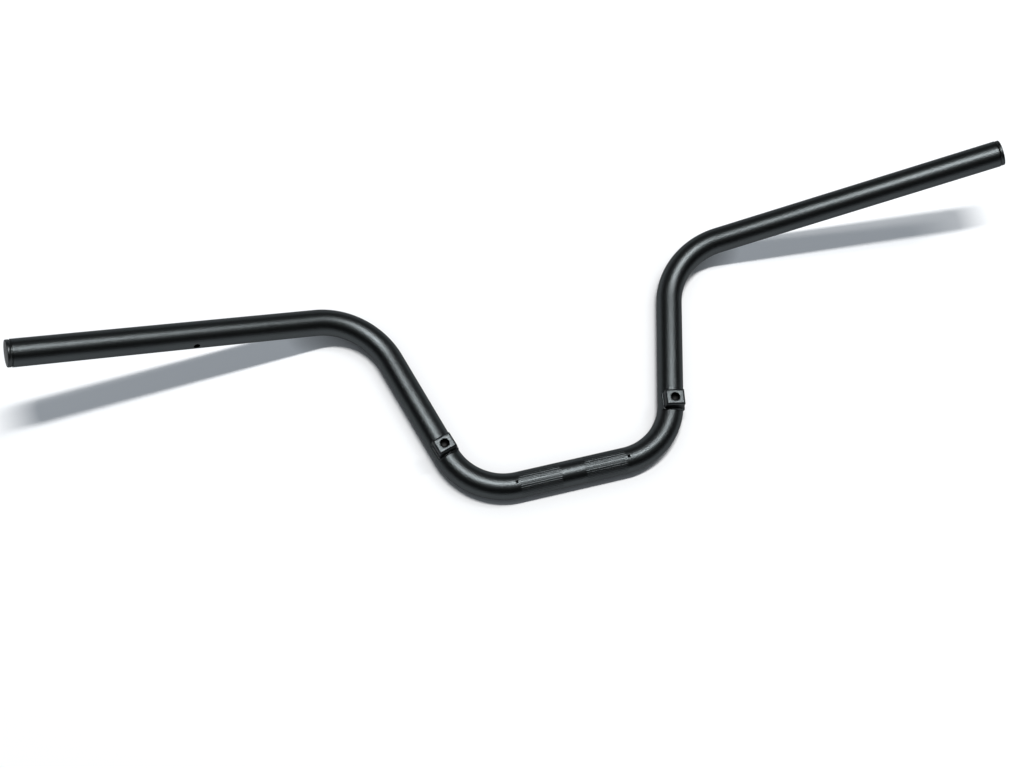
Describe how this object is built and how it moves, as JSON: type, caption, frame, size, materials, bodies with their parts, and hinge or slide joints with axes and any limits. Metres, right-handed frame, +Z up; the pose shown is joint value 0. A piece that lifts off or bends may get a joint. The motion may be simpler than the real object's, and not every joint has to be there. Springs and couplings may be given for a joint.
{
  "type": "bicycle handlebar",
  "caption": "High-rise handlebar bent from black steel tube, with knurled clamp seats, tapped cross-brace lugs on the risers and plugged grip ends.",
  "frame": {"origin": "centre of the straight clamp section, on the tube's axis", "axes": "+X along the clamp section towards the right grip, +Y from the clamp up the risers, +Z up from the floor that the bar lies on"},
  "size_m": [0.839, 0.1955, 0.1172],
  "materials": {
    "black_paint": "satin",
    "black_plastic": "satin"
  },
  "bodies": {
    "root": {"handlebar_tube": "black_paint", "left_lug": "black_paint", "right_lug": "black_paint", "left_lug_weld": "black_paint", "right_lug_weld": "black_paint", "left_end_plug": "black_plastic", "right_end_plug": "black_plastic"}
  },
  "joints": []
}
